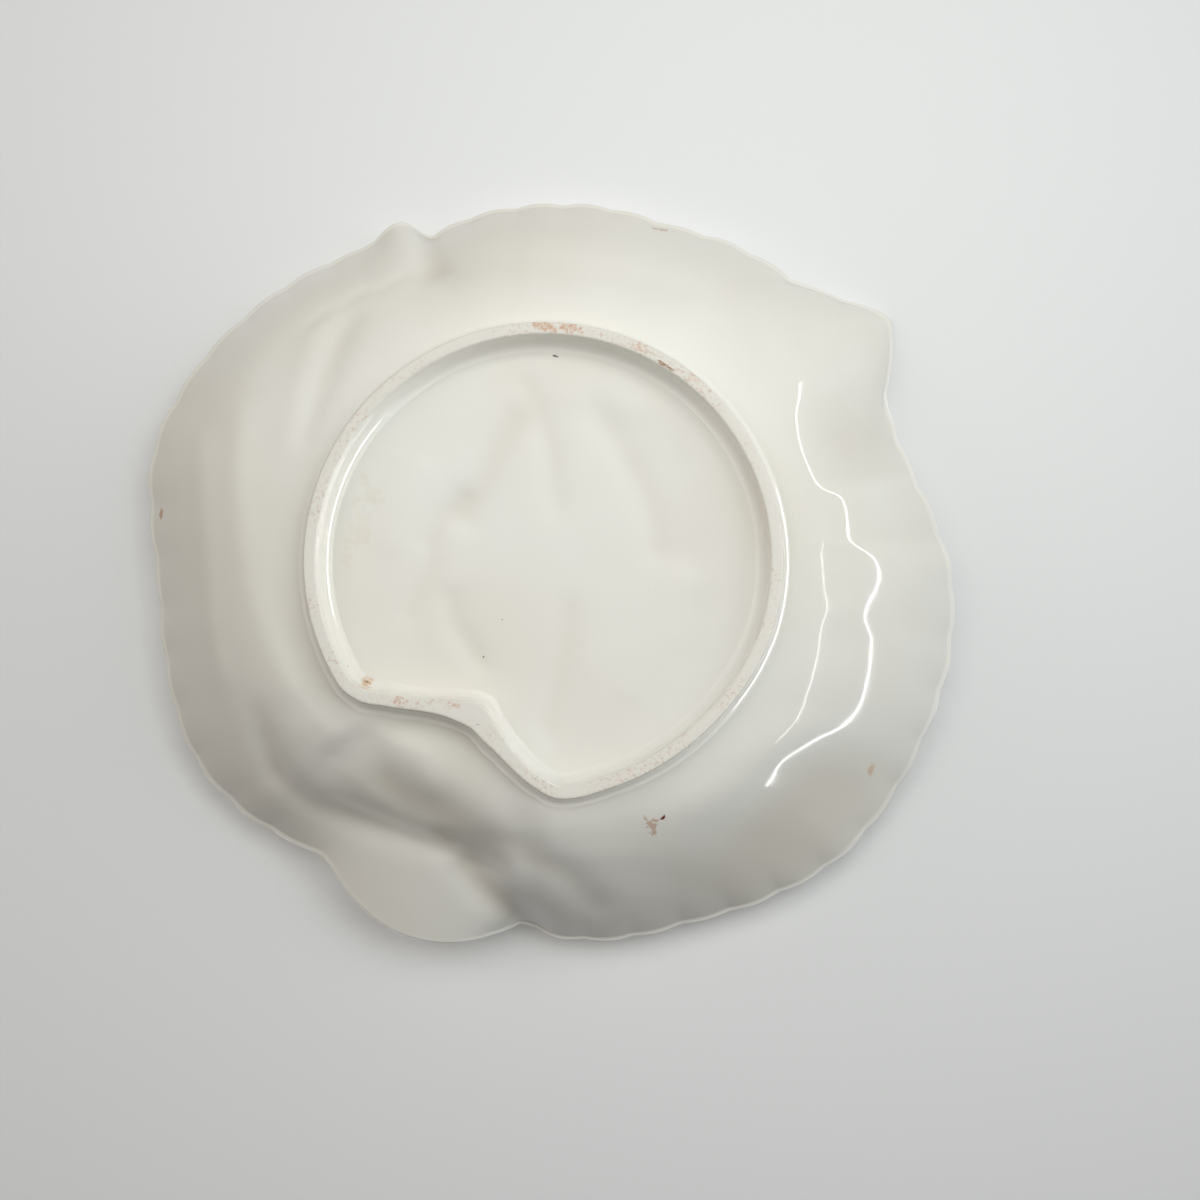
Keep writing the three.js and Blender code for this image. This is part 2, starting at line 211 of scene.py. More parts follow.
# Veins of the leaf, from the stalk to the rim: hollows underneath, ridges on the front
VEINS = [
    [(-3, -84), (3, -58), (7, -38), (17, -22), (20, 0), (19, 24), (18, 45), (21, 75), (27, 108)],
    [(-5, -82), (-13, -60), (-16, -44), (-14, -20), (-8, 0), (3, 22), (16, 44)],
    [(1, -82), (14, -60), (24, -42), (31, -25), (30, -8), (28, 14), (26, 36), (31, 66), (42, 106)],
    [(5, -82), (28, -54), (40, -36), (46, -18), (48, 0), (46, 20), (49, 44), (62, 70), (76, 92)],
    [(9, -82), (40, -66), (60, -46), (70, -20), (71, 8), (72, 34), (84, 58), (97, 74)],
    [(14, -84), (52, -72), (76, -54), (94, -22), (106, 6), (120, 28)],
    [(24, -88), (60, -82), (82, -68), (98, -58), (108, -54)],
    [(16, 44), (0, 41), (-20, 48), (-38, 62), (-56, 82), (-78, 107)],
    [(16, 52), (6, 64), (-4, 84), (-8, 116)],
    [(14, 48), (-10, 62), (-26, 84), (-38, 112)],
    [(-2, 14), (-14, 30), (-30, 40), (-50, 51), (-70, 62), (-98, 74)],
    [(-8, 0), (-22, 3), (-37, 12), (-52, 21), (-68, 30), (-84, 38), (-110, 48)],
    [(-14, -20), (-30, -9), (-48, 1), (-68, 10), (-90, 20), (-122, 26)],
    [(-16, -40), (-32, -24), (-52, -11), (-72, -3), (-94, 4), (-124, 4)],
    [(-13, -60), (-34, -42), (-56, -28), (-76, -19), (-98, -15), (-124, -19)],
    [(-8, -74), (-34, -58), (-58, -44), (-80, -37), (-100, -36), (-119, -41)],
    [(-6, -80), (-36, -70), (-60, -60), (-80, -57), (-108, -63)],
    [(-8, -84), (-30, -81), (-54, -76), (-72, -76), (-90, -80)],
]
VEIN_HALF_WIDTH = 4.5
VEIN_HOLLOW_FLOOR = 0.1  # under the floor
VEIN_HOLLOW_WALL = 0.12  # under the wall
VEIN_RIDGE = 0.9  # on the front
VEIN_RIDGE_HALF_WIDTH = 1.8
VEIN_RIDGE_FADE = 6  # how near the rim the ridges run out
FOOT_CLEARANCE = 9.0  # distance from the ring's seat over which the relief under the dish fades in

# Ripples under the wall opposite the notch: bearing, reach of the ripple's middle, its extra slope there
RIPPLES = [
    (110, 90, 0),
    (124, 89.5, -0.02),
    (129.5, 86, 0.02),
    (133, 82, 0.075),
    (140, 79, 0.105),
    (146, 79, 0.1),
    (148, 80.5, 0.07),
    (150, 84, -0.01),
    (154, 85.3, 0.01),
    (159, 86.5, 0.045),
    (161.5, 91.5, -0.03),
    (166, 94, -0.028),
    (172, 92, 0.034),
    (176.5, 95, 0),
    (187, 96, 0.006),
    (191, 94.5, 0.035),
    (195, 91, 0.095),
    (201, 87.5, 0.16),
    (208, 86, 0.19),
    (218, 86, 0.15),
    (230, 86, 0.07),
    (244, 86, 0),
]
RIPPLE_HALF_WIDTH = (9.0, 26.0)  # towards the foot, towards the rim

# Fineness of the surfaces
COLUMNS = SCALLOPS * 11
CAD_COLUMNS = SCALLOPS * 3  # the solids' own columns, whose box sets the origin
FLOOR_ROWS = 30
SEAT_ROWS = 3
FLAT_ROWS = FLOOR_ROWS + SEAT_ROWS - 1  # the rows before the wall's first, which ends the seat
WALL_ROWS = 56
LIP_ROWS = 8
EDGE_ROWS = 6
FILLET_ROWS = 12
LINE_STEPS = 6  # steps between two points of a drawn line
NORMAL_PASSES = 30  # how far the front's directions are smoothed

# Photograph's view: the leaf leans 17 degrees to the right of upright, and the camera tilts 4 degrees
VIEW_TURN = np.radians(17.0)
VIEW_TILT = np.radians(4.0)
CAMERA_PLACE = (15.26, -34.28, 326.2)  # right, up and towards the camera from the middle of the foot's face
LENS = 36.0
SENSOR = 36.0
NEAREST_SEEN = 10.0  # distance from the camera at which it begins to see

# Linear colours
WHITE = (1.0, 1.0, 1.0)
IVORY = (0.795, 0.777, 0.718, 1.0)
IVORY_WARM = (0.765, 0.732, 0.655, 1.0)
POOLED = (0.60, 0.535, 0.43, 1.0)
CLAY = (0.63, 0.605, 0.545, 1.0)
CLAY_PINK = (0.50, 0.33, 0.25, 1.0)
RUST = (0.48, 0.25, 0.13, 1.0)
TAN = (0.62, 0.40, 0.23, 1.0)
DARK_RED = (0.16, 0.025, 0.012, 1.0)
BROWN = (0.27, 0.15, 0.07, 1.0)
BEIGE = (0.66, 0.56, 0.40, 1.0)
GREY = (0.16, 0.15, 0.14, 1.0)
FLOOR_PALE = (0.74, 0.74, 0.73, 1.0)
SKY = (0.97, 0.98, 1.0, 1.0)

# Noises: features to a metre, octaves, roughness
WAVE_NOISE = (70.0, 2.0, 0.5)
PIT_NOISE = (420.0, 2.0, 0.5)
CLOUD_NOISE = (13.0, 3.0, 0.5)
SHEEN_NOISE = (30.0, 3.0, 0.5)
WEAR_NOISE = (260.0, 4.0, 0.6)
GRAIN_NOISE = (900.0, 3.0, 0.7)
PATCH_NOISE = (60.0, 3.0, 0.5)
NOISE_SPREAD = (0.3, 0.7)  # most of a noise's values lie between these

# Glaze
WAVE_BUMP = (0.5, 0.1)  # strength, height
PIT_BUMP = (0.25, 0.02)
CLOUD_EDGE = (0.35, 0.7)  # noise values at which a warm cloud begins and is full
SPECK_SCALE = 52.0  # cells to a metre that may hold a kiln speck
SPECK_SIZE = 0.016  # reach of a speck in shares of its cell
SPECK_SHARE = 0.5  # share of the cells that hold one
SPOT_CORE = 0.6  # share of a spot's reach that has its full colour
POOL_DEPTH = (0.1, 2.2)  # depths of a hollow at which colour begins to pool and pools most
POOL_MOST = 0.5
GLAZE_ROUGHNESS = (0.05, 0.10)
GLAZE_IOR = 1.5
COAT = 0.5
COAT_ROUGHNESS = 0.02

# Foot's clay
BARE_HEIGHT = (0.35, 0.15)  # heights above the table at which the bare face begins and is full
BARE_UNEVEN = 0.12
PATCH_EDGE = (0.42, 0.64)
PATCH_LEAST = 0.08  # share of the freckles between the patches
FRECKLE_EDGE = (0.5, 0.62)
FRECKLE_STRENGTH = 0.6
SPECKLE_EDGE = (0.4, 0.58)
SPECKLE_LEAST = 0.3  # share of a stain's strength between the grains
FOOT_ROUGHNESS = (0.12, 0.62)  # glazed, bare
CLAY_BUMP = (0.5, 0.05)  # strength, height

# Marks on the glaze and the foot
MARK_DEPTH = 6.0  # how deep a mark reaches through the surface
MARK_GRAIN = 2.5  # how many ragged bits a mark's length holds
MARK_OCTAVES = 4.0
MARK_ROUGHNESS = 0.7
MARK_EDGE = (1.0, 0.55)  # shares of a mark's size at which it begins and is full

# Marks on the glaze: colour, bearing, reach, length, width, turn, raggedness, strength
GLAZE_MARKS = [
    (TAN, 195.1, 112.4, 5.4, 3.0, 70.0, 0.3, 0.6),
    (RUST, 351.0, 118.6, 4.2, 1.8, 75.0, 0.3, 0.7),
    (RUST, 91.3, 110.4, 6.0, 1.4, 170.0, 0.7, 0.45),
    (DARK_RED, 228.6, 78.6, 2.2, 1.3, 120.0, 0.4, 1.0),
    (RUST, 231.0, 79.6, 5.6, 2.2, 60.0, 1.3, 0.6),
    (BEIGE, 349.5, 51.5, 18.0, 7.0, 80.0, 0.9, 0.16),
    (BEIGE, 4.5, 53.0, 10.0, 6.0, 60.0, 0.9, 0.2),
    (GREY, 75.5, 58.4, 2.0, 0.7, 0.0, 0.3, 1.0),
    (GREY, 286.2, 52.6, 2.6, 0.35, 8.0, 0.3, 0.7),
]

# Marks on the foot ring: colour, bearing, distance out from the middle of its face, height, then as above
FOOT_MARKS = [
    (RUST, 73.5, 0.3, 0.0, 8.0, 3.0, 165.0, 0.7, 0.75),
    (RUST, 79.0, 0.3, 0.0, 9.0, 3.2, 170.0, 0.7, 0.8),
    (BROWN, 105.2, -1.0, 0.1, 7.8, 1.3, 197.0, 0.4, 1.0),
    (RUST, 97.0, 0.3, 0.0, 6.0, 3.0, 187.0, 1.0, 0.4),
    (RUST, 112.0, 0.6, 0.0, 9.0, 1.6, 202.0, 1.0, 0.35),
    (TAN, 308.8, -3.8, 5.0, 4.8, 4.4, 28.0, 0.3, 0.95),
    (BROWN, 308.8, -3.8, 5.0, 2.0, 1.4, 28.0, 0.6, 0.9),
    (BROWN, 314.3, -2.4, 2.0, 1.7, 0.5, 50.0, 0.4, 0.9),
    (CLAY_PINK, 298.0, 0.0, 0.0, 3.4, 2.6, 20.0, 1.0, 0.9),
    (CLAY_PINK, 284.0, -1.0, 0.0, 3.2, 1.6, 10.0, 0.9, 0.9),
    (GREY, 274.4, 1.2, 0.1, 2.0, 0.3, 165.0, 0.2, 0.8),
]

# Stage: two floors, and how far the lower one lies below the table and the upper one above the dish
FLOOR_SIZE = 12000.0
FLOOR_DROP = 0.05
FACE_DOWN_SIZE = 3000.0
FACE_DOWN_GAP = 0.3
STAGE_ROUGHNESS = 0.9
STAGE_SPECULAR = 0.1

# Sky: its light by how far up a direction points, and the least brightness that the camera sees
SKY_BAND = (0.05, 0.5)
SKY_LIGHT = (0.03, 0.55)
SKY_SEEN = 0.6

# Lamps: name, place as the photograph sees it, width, height, watts, colour, and what sets the lamp apart
LAMPS = [
    ("right_panel", (1200, 290, 657), 1200, 1200, 10.6, (0.92, 0.96, 1.0), {"mirrored": False}),
    ("front_panel", (83, 165, 370), 360, 360, 1.18, (0.96, 1.0, 0.99), {"mirrored": False}),
    ("left_panel", (-1000, 380, 900), 1200, 1200, 9.8, (1.0, 0.95, 0.92), {"mirrored": False}),
    ("strip_outer", (1434, -60, 428), 20, 2600, 2.0, WHITE, {}),
    ("strip_inner", (1195, -250, 903), 12, 1100, 0.55, WHITE, {}),
    ("ring_glint", (1200, -150, 720), 300, 1400, 16.0, WHITE, {"lighting": False, "ring_only": True}),
    ("ring_fill", (250, -950, 850), 1000, 1000, 4.0, WHITE, {"mirrored": False, "ring_only": True}),
    ("top_panel", (300, 260, -1480), 800, 800, 9.0, (1.0, 0.98, 0.95), {}),
    ("top_fill", (-400, -260, -1300), 500, 500, 2.0, WHITE, {}),
]


def smoothstep(value, low, high):
    share = np.clip((value - low) / (high - low), 0, 1)
    return share * share * (3 - 2 * share)


def around(table, bearing, column):
    """Smooth value of a table's column at each bearing, round the full circle."""
    rows = np.array(table, dtype=float)
    at = np.concatenate([rows[-2:, 0] - 360, rows[:, 0], rows[:2, 0] + 360])
    value = np.concatenate([rows[-2:, column], rows[:, column], rows[:2, column]])
    slope = np.zeros_like(value)
    slope[1:-1] = (value[2:] - value[:-2]) / (at[2:] - at[:-2])
    wanted = rows[0, 0] + np.mod(bearing - rows[0, 0], 360)
    low = np.searchsorted(at, wanted, side="right") - 1
    span = at[low + 1] - at[low]
    u = (wanted - at[low]) / span
    rise = u * u * (3 - 2 * u)
    bend = slope[low] * u * (1 - u) ** 2 - slope[low + 1] * u * u * (1 - u)
    return value[low] + (value[low + 1] - value[low]) * rise + span * bend


def across_lobe(bearing):
    """Place across the lobe: 0 on its axis, -1 and 1 at its two ends."""
    return (bearing - LOBE_BEARING) / LOBE_HALF_ANGLE


def lobe_share(bearing):
    """Share of the lobe's flat form: 1 over its middle, 0 away from it."""
    across = across_lobe(bearing)
    faded = np.where(across > 0, across / LOBE_FADE, across)
    return smoothstep(1 - faded ** 2, 0, LOBE_EDGE)


def point_share(point, bearing, share):
    """Share of a leaf point's form: 1 at its end, 0 away from it, and softer further in from the rim."""
    away = bearing - point["bearing"]
    side = np.where(away < 0, point["before"], point["after"])
    rounding = POINT_SOFT + (point["round"] - POINT_SOFT) * share ** POINT_FADE
    return np.maximum(0, 1 + rounding - np.hypot(away / side, rounding)) ** POINT_CURVE


def scallop(bearing):
    cusp = 1 - np.abs(np.sin(np.radians(bearing * SCALLOPS) / 2))
    return SCALLOP_DEPTH * cusp * (1 - lobe_share(bearing))


def outline_reach(bearing, rounding=0.0):
    """Reach of the outline without its points, with the lobe's corners rounded or sharp."""
    inside_lobe = 1 - across_lobe(bearing) ** 2
    lobe = LOBE_LENGTH * (inside_lobe + np.hypot(inside_lobe, rounding)) / 2
    return RIM_RADIUS * (1 + around(LEAF_OUTLINE, bearing, 1) / HUNDREDTHS) + lobe


def point_sum(quality, bearing, share):
    """Sum over the leaf's points of how far they stand out or rise."""
    shares = [point[quality] * point_share(point, bearing, share) for point in (LEAF_TIP, LEAF_NUB)]
    return sum(shares) * share ** POINT_FADE


def edge_reach(bearing, share):
    """What the points and scallops add to the reach, a share of the way from the foot's seat to the rim."""
    return point_sum("length", bearing, share) - scallop(bearing) * share ** SCALLOP_FADE


def rim_height(bearing):
    departure = around(LEAF_OUTLINE, bearing, 2) / HUNDREDTHS
    return RIM_HEIGHT * (1 + departure) - LOBE_DROP * lobe_share(bearing)


def plan(bearing, reach):
    return np.cos(np.radians(bearing)) * reach, np.sin(np.radians(bearing)) * reach


def foot_reach(bearing):
    return FOOT_RADIUS - NOTCH_DEPTH * around(FOOT_NOTCH, bearing, 1)


def beside_foot(bearing, distance):
    """Reach of a line that runs beside the foot ring at a distance, outwards or inwards."""
    before_x, before_y = plan(bearing - BEARING_STEP, foot_reach(bearing - BEARING_STEP))
    after_x, after_y = plan(bearing + BEARING_STEP, foot_reach(bearing + BEARING_STEP))
    out_x, out_y = plan(bearing, 1)
    length = np.hypot(after_x - before_x, after_y - before_y)
    slant = ((after_y - before_y) * out_x - (after_x - before_x) * out_y) / length
    return foot_reach(bearing) + distance / slant


def foot_half(bearing):
    """Half the width of the resting face, which is wider at the notch's inner end."""
    away = (bearing - CUSP_BEARING) / CUSP_HALF_ANGLE
    return (FOOT_FACE + CUSP_WIDTH * np.exp(-(away ** 2))) / 2


def seat_inside(bearing):
    return beside_foot(bearing, -(foot_half(bearing) + FLARE_INSIDE + SEAT_MARGIN))


def seat_outside(bearing):
    return beside_foot(bearing, foot_half(bearing) + FLARE_OUTSIDE + SEAT_MARGIN)


def lobe_rise(bearing, reach, end):
    """Share of the wall's rise at the lobe: ever steeper up to the crease, then a flat slope to the rim."""
    start = seat_outside(bearing)
    turn = np.clip(np.abs(bearing - LOBE_BEARING), 0, 2 * LOBE_HALF_ANGLE)
    crease = CREASE_DISTANCE / np.cos(np.radians(turn))
    wall = LOBE_LEVEL * np.maximum(0, (reach - start) / (crease - start)) ** LOBE_CURVE
    slope = LOBE_LEVEL + (1 - LOBE_LEVEL) * np.maximum(0, (reach - crease) / (end - crease))
    blend = np.clip(0.5 + (slope - wall) / (2 * CREASE_ROUND), 0, 1)
    return slope + (wall - slope) * blend - CREASE_ROUND * blend * (1 - blend)


def smooth_line(points):
    """A smooth curve through the points."""
    places = np.array(points, dtype=float)
    padded = np.vstack([2 * places[0] - places[1], places, 2 * places[-1] - places[-2]])
    u = np.linspace(0, 1, LINE_STEPS, endpoint=False)[:, None]
    stretches = []
    for a, b, c, d in zip(padded, padded[1:], padded[2:], padded[3:]):
        bends = (2 * a - 5 * b + 4 * c - d) * u ** 2 + (3 * b - a - 3 * c + d) * u ** 3
        stretches.append(b + ((c - a) * u + bends) / 2)
    return np.vstack([*stretches, places[-1:]])


def distance_to_line(x, y, points):
    line = smooth_line(points)
    nearest = np.full(x.shape, np.inf)
    for start, end in zip(line, line[1:]):
        along = end - start
        share = ((x - start[0]) * along[0] + (y - start[1]) * along[1]) / (along @ along)
        share = np.clip(share, 0, 1)
        away = np.hypot(x - start[0] - share * along[0], y - start[1] - share * along[1])
        nearest = np.minimum(nearest, away)
    return nearest


def stroke(x, y, points, half_width):
    """Soft line on the plan: 1 on the line, fading to 0 beside it."""
    return np.exp(-(distance_to_line(x, y, points) / half_width) ** 2)


def strokes(x, y, table):
    """Sum of a table's soft lines, each as high as its rise."""
    return sum(rise * stroke(x, y, points, half_width) for rise, half_width, points in table)


def veins(x, y, half_width):
    """Share of the nearest vein's form."""
    return np.max([stroke(x, y, points, half_width) for points in VEINS], axis=0)


def ripple(bearing, reach):
    away = reach - around(RIPPLES, bearing, 1)
    half_width = np.where(away < 0, *RIPPLE_HALF_WIDTH)
    return around(RIPPLES, bearing, 2) * away * np.exp(-(away / half_width) ** 2)


def all_bearings(columns):
    return np.arange(columns) * 360 / columns


def under_grid(bearing):
    """Underside of the leaf as rows of points from near the middle out to the rim.

    Gives x, y and z, the share of the way up the wall, and the relief above the plain form.
    """
    floor_share = np.linspace(0, 1, FLOOR_ROWS + 1)[1:, None]
    seat_share = np.linspace(0, 1, SEAT_ROWS + 1)[1:-1, None]
    wall_share = np.linspace(0, 1, WALL_ROWS)[:, None]
    inside = seat_inside(bearing)
    outside = seat_outside(bearing)
    floor_reach = floor_share * inside
    seat_reach = inside + seat_share * (outside - inside)
    end = outline_reach(bearing, LOBE_SOFT) - LIP_ROUND
    corner = outline_reach(bearing) - outline_reach(bearing, LOBE_SOFT)
    wall_reach = outside + wall_share * (end - outside) + corner * wall_share ** LOBE_CORNER_FADE
    wall_reach = wall_reach + edge_reach(bearing, wall_share)
    lobe = lobe_share(bearing)
    slope = wall_share ** WALL_CURVE * (1 - lobe) + lobe_rise(bearing, wall_reach, end) * lobe
    wall_z = FOOT_HEIGHT + (rim_height(bearing) - FOOT_HEIGHT) * slope
    wall_z = wall_z + point_sum("rise", bearing, wall_share)
    flat = np.zeros((FLAT_ROWS, bearing.size))
    reach = np.vstack([floor_reach, seat_reach, wall_reach])
    height = np.vstack([flat + FOOT_HEIGHT, wall_z])
    share = np.vstack([flat, np.repeat(wall_share, bearing.size, 1)])
    x, y = plan(bearing, reach)
    clear = smoothstep(inside - reach, 0, FOOT_CLEARANCE) + smoothstep(reach - outside, 0, FOOT_CLEARANCE)
    folds = strokes(x, y, FOLDS)
    dents = strokes(x, y, FLOOR_DENTS)
    hollow = np.where(share > 0, VEIN_HOLLOW_WALL, VEIN_HOLLOW_FLOOR) * veins(x, y, VEIN_HALF_WIDTH)
    relief = clear * (np.where(share > 0, folds + ripple(bearing, reach), dents) + hollow)
    return x, y, height + relief, share, relief


def softened(grid, passes):
    """Grid of rows from the middle out and columns round, each value mixed with its neighbours."""
    for _ in range(passes):
        rows = np.concatenate([grid[:1], grid, grid[-1:]])
        grid = (rows[:-2] + 2 * grid + rows[2:]) / 4
        grid = (np.roll(grid, 1, axis=1) + 2 * grid + np.roll(grid, -1, axis=1)) / 4
    return grid


def grid_normals(points):
    """Upward directions square to a grid of points, soft enough for the front to stay clear of itself."""
    outwards = np.gradient(points, axis=0)
    sideways = np.roll(points, -1, axis=1) - np.roll(points, 1, axis=1)
    normal = np.cross(outwards, sideways)
    normal = softened(normal / np.linalg.norm(normal, axis=-1, keepdims=True), NORMAL_PASSES)
    return normal / np.linalg.norm(normal, axis=-1, keepdims=True)


def leaf_surface():
    """Points of the whole skin, and how far the relief raises each above the plain form.

    The rows run from the middle underneath, round the rim, to the middle of the front.
    """
    bearing = all_bearings(COLUMNS)
    x, y, z, share, relief = under_grid(bearing)
    under = np.stack([x, y, z], axis=-1)
    thickness = WALL + (LIP - WALL) * share ** LIP_FADE
    ridges = veins(x, y, VEIN_RIDGE_HALF_WIDTH)
    front = under + grid_normals(under) * thickness[..., None]
    front[..., 2] += VEIN_RIDGE * ridges * (1 - share ** VEIN_RIDGE_FADE)
    lip_x, lip_y = plan(bearing, outline_reach(bearing) + edge_reach(bearing, 1.0))
    middle = (under[-1] + front[-1]) / 2
    outward = np.stack([lip_x, lip_y, middle[:, 2]], axis=-1) - middle
    half = (front[-1] - under[-1]) / 2
    turn = (np.arange(LIP_ROWS) + 1) * np.pi / (LIP_ROWS + 1)
    lip = [middle - half * np.cos(angle) + outward * np.sin(angle) for angle in turn]
    points = np.concatenate([under, np.array(lip), front[::-1]])
    depth = np.concatenate([relief, np.zeros((LIP_ROWS, COLUMNS)), np.zeros(relief.shape)])
    return points, depth


def ring_faces(rows, closed):
    """Four-sided faces between rows of points, each row running round.

    A closed form also joins the last row to the first.
    """
    columns = np.arange(COLUMNS)
    beside = (columns + 1) % COLUMNS
    faces = []
    for row in range(rows if closed else rows - 1):
        here = row * COLUMNS
        out = ((row + 1) % rows) * COLUMNS
        faces.append(np.stack([here + beside, here + columns, out + columns, out + beside], axis=-1))
    return np.concatenate(faces).tolist()


def foot_middle():
    """Middle of the foot ring in the row frame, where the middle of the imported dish's box is the origin."""
    bearing = all_bearings(CAD_COLUMNS)
    x, y = plan(bearing, outline_reach(bearing) + edge_reach(bearing, 1.0))
    return Vector((-(x.min() + x.max()) / 2, -(y.min() + y.max()) / 2, 0))


FOOT_MIDDLE = foot_middle()


def add_to_scene(name, data):
    added = bpy.data.objects.new(name, data)
    bpy.context.scene.collection.objects.link(added)
    return added


def make_piece(name, points, faces, material, nodes):
    mesh = bpy.data.meshes.new(name)
    places = (points.reshape(-1, 3) + np.array(FOOT_MIDDLE)) * MM
    mesh.from_pydata(places.tolist(), [], faces)
    mesh.shade_smooth()
    mesh.materials.append(material)
    piece = add_to_scene(name, mesh)
    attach(piece, "root")
    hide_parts(*nodes)
    return piece


def glazed_leaf(points, depth, material):
    rows = points.shape[0]
    faces = ring_faces(rows, closed=False)
    under_middle = rows * COLUMNS
    front_middle = under_middle + 1
    last = (rows - 1) * COLUMNS
    for column in range(COLUMNS):
        beside = (column + 1) % COLUMNS
        faces.append((under_middle, column, beside))
        faces.append((front_middle, last + beside, last + column))
    middles = [points[0].mean(axis=0), points[-1].mean(axis=0)]
    skin = np.vstack([points.reshape(-1, 3), middles])
    piece = make_piece("glazed_leaf", skin, faces, material, ["leaf_body", "stalk_lobe"])
    hollow = piece.data.attributes.new("hollow", "FLOAT", "POINT")
    hollow.data.foreach_set("value", np.append(depth.ravel(), [depth[0].mean(), 0]).astype(np.float32))


def curve_points(start, start_pull, end_pull, end, steps):
    """Points on a cubic curve between two ends that leaves and arrives towards its pulls."""
    u = np.linspace(0, 1, steps)[:, None]
    v = 1 - u
    first, second, third, last = np.array([start, start_pull, end_pull, end], dtype=float)
    first_half = v ** 3 * first + 3 * u * v ** 2 * second
    return first_half + 3 * u * u * v * third + u ** 3 * last


def foot_side(flare):
    """One side of the foot's section, up from the resting face: distance past the face's edge, height."""
    pull = EDGE_PULL * FOOT_EDGE
    edge = curve_points((-FOOT_EDGE, 0), (-pull, 0), (0, pull), (0, FOOT_EDGE), EDGE_ROWS)
    top = (flare + SEAT_MARGIN / 2, FOOT_HEIGHT + FOOT_SINK)
    steep = (STEEP_PULL[0] * flare, STEEP_PULL[1] * FOOT_HEIGHT)
    level = (LEVEL_PULL * flare, FOOT_HEIGHT)
    fillet = curve_points((0, FOOT_EDGE), steep, level, top, FILLET_ROWS)
    return np.vstack([edge, fillet[1:]])


def foot_ring(material):
    bearing = all_bearings(COLUMNS)
    half = foot_half(bearing)
    section = [(-(half + past), height) for past, height in foot_side(FLARE_INSIDE)[::-1]]
    section += [(half + past, height) for past, height in foot_side(FLARE_OUTSIDE)]
    rows = []
    for distance, height in section:
        x, y = plan(bearing, beside_foot(bearing, distance))
        rows.append(np.stack([x, y, np.full(COLUMNS, height)], axis=-1))
    faces = ring_faces(len(rows), closed=True)
    return make_piece("foot_ring_glazed", np.array(rows), faces, material, ["foot_ring"])


def feed(tree, socket, value):
    """Sets a node's input to a value, or links it to the output that feeds it."""
    if isinstance(value, bpy.types.NodeSocket):
        tree.links.new(value, socket)
    else:
        socket.default_value = value


def add_node(tree, kind, inputs=None, **settings):
    made = tree.nodes.new(kind)
    for name, value in settings.items():
        setattr(made, name, value)
    for name, value in (inputs or {}).items():
        feed(tree, made.inputs[name], value)
    return made


def noise(tree, position, scale, octaves, roughness):
    inputs = {"Vector": position, "Scale": scale, "Detail": octaves, "Roughness": roughness}
    return add_node(tree, "ShaderNodeTexNoise", inputs).outputs["Fac"]


def remap(tree, value, low, high, to_low=0.0, to_high=1.0):
    inputs = {"Value": value, "From Min": low, "From Max": high, "To Min": to_low, "To Max": to_high}
    return add_node(tree, "ShaderNodeMapRange", inputs, interpolation_type="SMOOTHSTEP").outputs["Result"]


def combine(tree, operation, first, second):
    return add_node(tree, "ShaderNodeMath", {0: first, 1: second}, operation=operation).outputs[0]


def mix_colour(tree, factor, first, second):
    return add_node(tree, "ShaderNodeMix", {0: factor, 6: first, 7: second}, data_type="RGBA").outputs[2]


def bump(tree, strength, height, texture, below=None):
    """Relief in the shading, as high in millimetres as is said, over another relief if one is given."""
    inputs = {"Strength": strength, "Distance": height * MM, "Height": texture}
    if below is not None:
        inputs["Normal"] = below
    return add_node(tree, "ShaderNodeBump", inputs).outputs[0]


def spots(tree, position, scale, size, kept):
    """Scattered spots: cells to a metre, a spot's reach in shares of its cell, share of cells with one."""
    cells = add_node(tree, "ShaderNodeTexVoronoi", {"Vector": position, "Scale": scale})
    red = add_node(tree, "ShaderNodeSeparateColor", {0: cells.outputs["Color"]}).outputs[0]
    shown = combine(tree, "LESS_THAN", red, kept)
    dot = remap(tree, cells.outputs["Distance"], size, size * SPOT_CORE)
    return combine(tree, "MULTIPLY", dot, shown)


def mark(tree, position, place, length, width, turn, ragged):
    """Share of one oval mark with a ragged edge: its place is in metres, its sizes in millimetres."""
    size = Vector((length, width, MARK_DEPTH)) / 2 * MM
    inputs = {"Vector": position, "Location": place, "Rotation": (0, 0, np.radians(turn)), "Scale": size}
    local = add_node(tree, "ShaderNodeMapping", inputs, vector_type="TEXTURE").outputs[0]
    away = add_node(tree, "ShaderNodeVectorMath", {0: local}, operation="LENGTH").outputs["Value"]
    grain = noise(tree, position, MARK_GRAIN / (length * MM), MARK_OCTAVES, MARK_ROUGHNESS)
    broken = combine(tree, "ADD", away, remap(tree, grain, *NOISE_SPREAD, -ragged, ragged))
    return remap(tree, broken, *MARK_EDGE)


def new_material(name):
    material = bpy.data.materials.new(name)
    material.use_nodes = True
    tree = material.node_tree
    position = add_node(tree, "ShaderNodeTexCoord").outputs["Object"]
    return material, tree, tree.nodes["Principled BSDF"], position


def glaze_bump(tree, position):
    """Slow waves and fine pits of a poured glaze."""
    waves = bump(tree, *WAVE_BUMP, noise(tree, position, *WAVE_NOISE))
    return bump(tree, *PIT_BUMP, noise(tree, position, *PIT_NOISE), waves)


def ivory(tree, position):
    """Ivory glaze with slow clouds of warmer colour and a few kiln specks."""
    clouds = remap(tree, noise(tree, position, *CLOUD_NOISE), *CLOUD_EDGE)
    colour = mix_colour(tree, clouds, IVORY, IVORY_WARM)
    specks = spots(tree, position, SPECK_SCALE, SPECK_SIZE, SPECK_SHARE)
    return mix_colour(tree, specks, colour, GREY)


def gloss(tree, shader, roughness):
    feed(tree, shader.inputs["Roughness"], roughness)
    shader.inputs["IOR"].default_value = GLAZE_IOR
    shader.inputs["Coat Weight"].default_value = COAT
    shader.inputs["Coat Roughness"].default_value = COAT_ROUGHNESS


